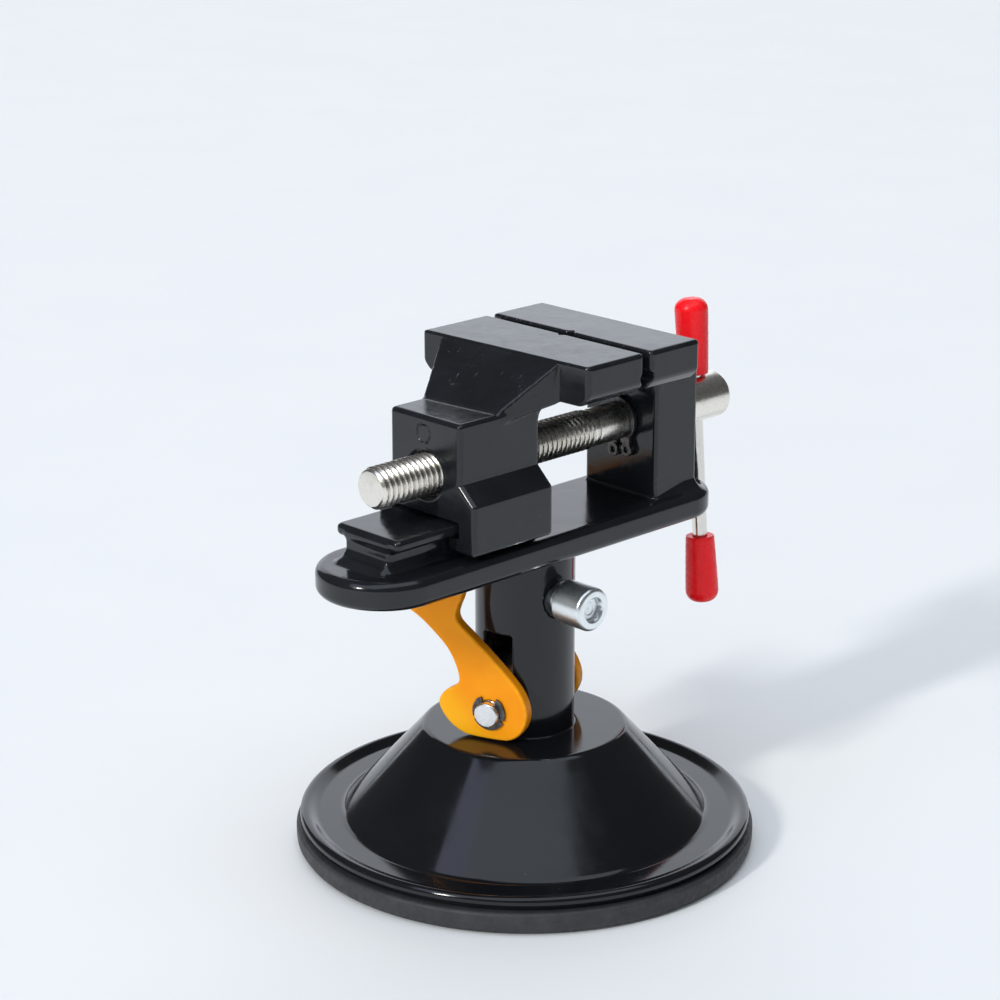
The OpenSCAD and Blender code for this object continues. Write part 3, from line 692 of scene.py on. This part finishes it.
def orange():
    m = Mat("Satin_orange").set(IOR=1.48, Specular_IOR_Level=0.2, Subsurface_Weight=0.12, Subsurface_Scale=0.0012)
    m.b.inputs["Subsurface Radius"].default_value = (1.0, 0.45, 0.12)
    c = m.mix(m.ramp(m.noise(7.0, 3), 0.3, 0.75), (0.88, 0.290, 0.003), (0.92, 0.325, 0.005))
    # painted light: towards the lever's lower part, where y minus z rises past -33 mm, the orange turns lighter and
    # yellower; this stands in for strong key light and a soft highlight on the lower lobe
    low = m.node("ShaderNodeSeparateXYZ"); m.link(m.co, low.inputs[0])
    c = m.mix(m.ramp(m.math("SUBTRACT", low.outputs[1], low.outputs[2]), -0.033, -0.023, 0, 0.9), c, (0.95, 0.440, 0.008))
    e = m.edge(0.03, 0.12)
    c = m.mix(m.math("MULTIPLY", e, m.ramp(m.noise(0.8, 3), 0.35, 0.7, 0.1, 0.5)), c, (0.97, 0.48, 0.03))
    d = m.specks(1.5, 0.05, 0.06)
    c = m.mix(m.math("MULTIPLY", d, 0.5), c, (0.30, 0.16, 0.05))
    m.color(c)
    m.rough(m.ramp(m.noise(1.3, 3), 0.3, 0.72, 0.30, 0.42))
    m.bump((m.noise(0.22, 2, 0.55), 0.0035), (m.noise(3.0, 1.5), 0.012), (d, 0.008))
    return m.m
orange_m = orange()

def metal(name, base, dark, r0, r1, axis=None, tarnish=0.25, depth=0.002):
    m = Mat(name).set(Metallic=1.0)
    stretch = {"x": (0.08, 1, 1), "z": (1, 1, 0.08), "r": (1, 1, 1), None: (1, 1, 1)}[axis]
    fine = m.noise(0.16, 3, 0.6, stretch)
    blot = m.noise(1.8, 4, 0.6)
    c = m.mix(m.ramp(blot, 0.48, 0.78, 0, tarnish), base, dark)
    # painted shade: the metal darkens to about a third of its colour in recesses such as thread roots
    c = m.mix(m.math("MULTIPLY", m.recess_shade(), 0.55), c, tuple(v * 0.35 for v in base))
    d = m.specks(1.1, 0.06, 0.05)
    c = m.mix(m.math("MULTIPLY", d, 0.6), c, (0.10, 0.09, 0.08))
    m.color(c)
    r = m.ramp(fine, 0.3, 0.75, r0, r1)
    m.rough(m.math("ADD", r, m.math("MULTIPLY", m.ramp(blot, 0.5, 0.8), 0.08)))
    m.bump((fine, depth), (m.noise(0.9, 2), depth * 1.5))
    return m.m
nickel = metal("Bright_nickel", (0.86, 0.82, 0.75), (0.50, 0.45, 0.38), 0.20, 0.32)
nickel_bar = metal("Bright_nickel_bar", (0.80, 0.77, 0.72), (0.50, 0.46, 0.40), 0.16, 0.26, "z", 0.18)
zinc = metal("Bright_zinc", (0.90, 0.94, 0.95), (0.66, 0.70, 0.71), 0.27, 0.38, None, 0.12)
pin_steel = metal("Pin_zinc", (0.84, 0.85, 0.86), (0.55, 0.55, 0.54), 0.22, 0.34, None, 0.15)
turned_steel = metal("Turned_steel", (0.60, 0.61, 0.62), (0.32, 0.30, 0.28), 0.22, 0.36, None, 0.3, 0.004)
dark_steel = metal("Dark_plated_steel", (0.26, 0.26, 0.27), (0.12, 0.12, 0.12), 0.24, 0.40, None, 0.3, 0.003)

def oxide():
    m = Mat("Black_spring_steel").set(Metallic=0.85)
    c = m.mix(m.ramp(m.noise(0.9, 4), 0.35, 0.7), (0.07, 0.07, 0.075), (0.13, 0.13, 0.13))
    c = m.mix(m.math("MULTIPLY", m.edge(0.03, 0.14), 0.45), c, (0.26, 0.25, 0.24))
    m.color(c)
    m.rough(m.ramp(m.noise(0.4, 3), 0.3, 0.7, 0.24, 0.42))
    m.bump((m.noise(0.12, 3), 0.003))
    return m.m
oxide_m = oxide()

def vinyl():
    m = Mat("Dipped_red_vinyl").set(IOR=1.5, Specular_IOR_Level=0.28, Subsurface_Weight=0.08, Subsurface_Scale=0.001)
    m.b.inputs["Subsurface Radius"].default_value = (1.0, 0.2, 0.1)
    c = m.mix(m.ramp(m.noise(5.0, 3), 0.3, 0.75), (0.96, 0.010, 0.016), (0.99, 0.016, 0.024))
    d = m.specks(1.4, 0.06, 0.06)
    c = m.mix(m.math("MULTIPLY", d, 0.5), c, (0.35, 0.05, 0.05))
    m.color(c)
    m.rough(m.ramp(m.noise(1.5, 3), 0.3, 0.72, 0.22, 0.36))
    m.bump((m.noise(0.8, 2), 0.006), (m.noise(3.5, 1), 0.02), (d, 0.01))
    return m.m
vinyl_m = vinyl()

def dress(ob, mat, body, slot, *nodes):
    ob.data.materials.clear(); ob.data.materials.append(mat)
    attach(ob, body)
    if nodes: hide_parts(*nodes)

dress(vise, enamel, "head", "body_black", "vise_body")
dress(jaw, enamel_jaw, "jaw", "jaw_black", "movable_jaw")
dress(cone, moulding, "base", "black_housing", "base_housing")
dress(post, moulding, "base", "black_housing", "base_housing")
dress(cup, rubber_m, "base", "rubber", "suction_cup")
dress(lever, orange_m, "lock_lever", "lever_orange", "lever")
dress(pin, pin_steel, "puller", "pin_steel", "pivot_pin")
dress(clips, oxide_m, "puller", "clip_black", "pivot_clips")
dress(clamp, zinc, "clamp", "zinc", "clamp_screw")
dress(screw, nickel, "screw", "nickel", "lead_screw")
dress(circlip, oxide_m, "screw", "clip_black", "screw_circlip")
dress(bar, nickel_bar, "handle", "nickel_bar", "tommy_bar")
dress(cap_u, vinyl_m, "handle", "cap_red", "bar_cap_upper")
dress(cap_l, vinyl_m, "handle", "cap_red", "bar_cap_lower")
for name, mat in (("clamp_insert", dark_steel), ("pull_stud", turned_steel)):
    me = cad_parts[name].data
    if len(me.materials) == 0: me.materials.append(mat)
    for k in range(len(me.materials)): me.materials[k] = mat

# ------------------------------------------------------------------ floor, light and camera
def floor_mesh():
    me = bpy.data.meshes.new("Floor")
    R = 14.0
    me.from_pydata([(-R, -R, -0.00003), (R, -R, -0.00003), (R, R, -0.00003), (-R, R, -0.00003)], [], [(0, 1, 2, 3)])
    ob = bpy.data.objects.new("Floor", me)
    scene.collection.objects.link(ob)
    m = Mat("Pale_floor").set(Roughness=0.8, Specular_IOR_Level=0.15)
    m.color(m.mix(m.ramp(m.noise(60.0, 2), 0.3, 0.7), (0.815, 0.829, 0.838), (0.825, 0.838, 0.846)))
    me.materials.append(m.m)
floor_mesh()

world = bpy.data.worlds.new("Studio")
scene.world = world
world.use_nodes = True
bg = world.node_tree.nodes["Background"]
bg.inputs[0].default_value = (0.96, 0.98, 1.0, 1)
bg.inputs[1].default_value = 0.08

def panel(name, centre, target, w, h, radiance, color=(1, 1, 1), spread=180):
    """A soft light; radiance is how bright it looks, with the plain floor in the photo at about 0.85."""
    L = bpy.data.lights.new(name, "AREA")
    L.shape = "RECTANGLE"; L.size = w; L.size_y = h
    L.energy = radiance * 4.0 * w * h
    L.color = color
    L.spread = math.radians(spread)
    ob = bpy.data.objects.new(name, L)
    scene.collection.objects.link(ob)
    ob.location = centre
    d = (Vector(target) - Vector(centre)).normalized()
    up = Vector((0, 0, 1)) if abs(d.z) < 0.98 else Vector((0, 1, 0))
    xa = d.cross(up).normalized(); ya = xa.cross(d)
    ob.rotation_euler = Matrix((xa, ya, -d)).transposed().to_euler()
    return ob

S = 2.0   # ceiling panels, given for a ceiling of 2 m, are moved out by this
panel("Ceiling_front", (-0.70 * S, -0.71 * S, 2.0 * S), (-0.70 * S, -0.71 * S, 0), 3.4 * S, 1.58 * S, 0.92, (0.86, 0.96, 1.06))
panel("Ceiling_left", (-1.9 * S, 0.43 * S, 2.0 * S), (-1.9 * S, 0.43 * S, 0), 2.2 * S, 0.72 * S, 0.7, (1.2, 1.3, 1.75))
# wide soft fill from above, which only lights matt surfaces
matt = [panel("Ceiling_fill", (0.4, 0.4, 4.5), (0.4, 0.4, 0), 7.0, 7.0, 0.40, (0.94, 0.955, 1.00)),
        panel("Far_fill", (2.2, 2.2, 3.0), (2.2, 2.2, 0), 4.0, 4.0, 0.70, (0.94, 0.950, 0.98))]
a, e = math.radians(-160), math.radians(12)
matt.append(panel("Near_fill", (5 * math.cos(a) * math.cos(e), 5 * math.sin(a) * math.cos(e), 5 * math.sin(e)), (0, 0, 0.1), 6.0, 2.0, 2.0, (0.95, 0.98, 1.05)))
for ob in matt: ob.visible_glossy = False
# bright wall behind, on the far side
a = math.radians(44)
panel("Back_wall", (6.5 * math.cos(a), 6.5 * math.sin(a), 2.3), (0, 0, 0.6), 9.5, 4.4, 1.1, (0.84, 0.89, 0.97))
# key light from the left, which throws the shadow
a, e = math.radians(182.5), math.radians(31)
D = 8.0
panel("Key", (D * math.cos(a) * math.cos(e), D * math.sin(a) * math.cos(e), D * math.sin(e)), (0, 0, 0.05), 0.45, 1.25, 130.0, (1.0, 1.0, 0.94))

cam = bpy.data.cameras.new("Camera")
cam.lens = 99.08; cam.sensor_width = 36.0; cam.sensor_fit = "HORIZONTAL"; cam.clip_start = 0.01
co = bpy.data.objects.new("Camera", cam)
scene.collection.objects.link(co)
eye = Vector((-353.01, -353.62, 229.19)) * MM
aim = Vector((-6.76, 0.0, 70.99)) * MM
co.location = eye
co.rotation_euler = (aim - eye).to_track_quat("-Z", "Y").to_euler()
scene.camera = co
scene.view_settings.view_transform = "Standard"
